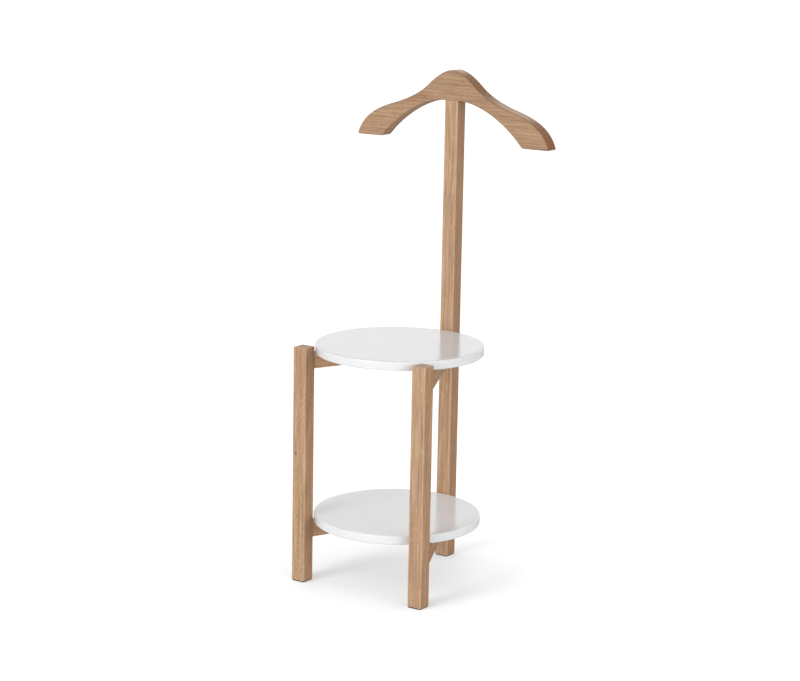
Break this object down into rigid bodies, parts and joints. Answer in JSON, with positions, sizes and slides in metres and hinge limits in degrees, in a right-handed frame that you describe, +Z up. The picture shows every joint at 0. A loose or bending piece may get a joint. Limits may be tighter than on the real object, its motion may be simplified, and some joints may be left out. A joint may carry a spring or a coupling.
{
  "type": "valet stand",
  "caption": "Valet stand with square oak legs, round white shelves on V-shaped rail frames, and a tall rear post topped by a shoulder-shaped hanger.",
  "frame": {"origin": "on the floor, under the middle of the overall width and depth", "axes": "+Z up along the post, +Y from the front legs towards the rear post, +X to the viewer's right, along the hanger"},
  "size_m": [0.475, 0.385, 1.058],
  "materials": {
    "oak": "light oiled oak, satin",
    "white_lacquer": "white lacquer on board, satin",
    "beech": "raw turned beech dowel",
    "zinc_steel": "bright zinc plating",
    "brass": "plain turned brass",
    "black_nylon": "matt moulded nylon"
  },
  "bodies": {
    "root": {"front_left_leg": "oak", "front_right_leg": "oak", "rear_post": "oak", "shoulder_hanger": "oak", "upper_left_rail": "oak", "upper_right_rail": "oak", "lower_left_rail": "oak", "lower_right_rail": "oak", "upper_shelf": "white_lacquer", "lower_shelf": "white_lacquer", "upper_leg_dowels": "beech", "lower_leg_dowels": "beech", "upper_post_dowels": "beech", "lower_post_dowels": "beech", "hanger_dowels": "beech", "upper_frame_bolts": "zinc_steel", "lower_frame_bolts": "zinc_steel", "upper_frame_washers": "zinc_steel", "lower_frame_washers": "zinc_steel", "upper_insert_nuts": "brass", "lower_insert_nuts": "brass", "upper_shelf_screws": "zinc_steel", "lower_shelf_screws": "zinc_steel", "front_left_glide": "black_nylon", "front_right_glide": "black_nylon", "rear_glide": "black_nylon", "glide_nails": "zinc_steel"}
  },
  "joints": []
}
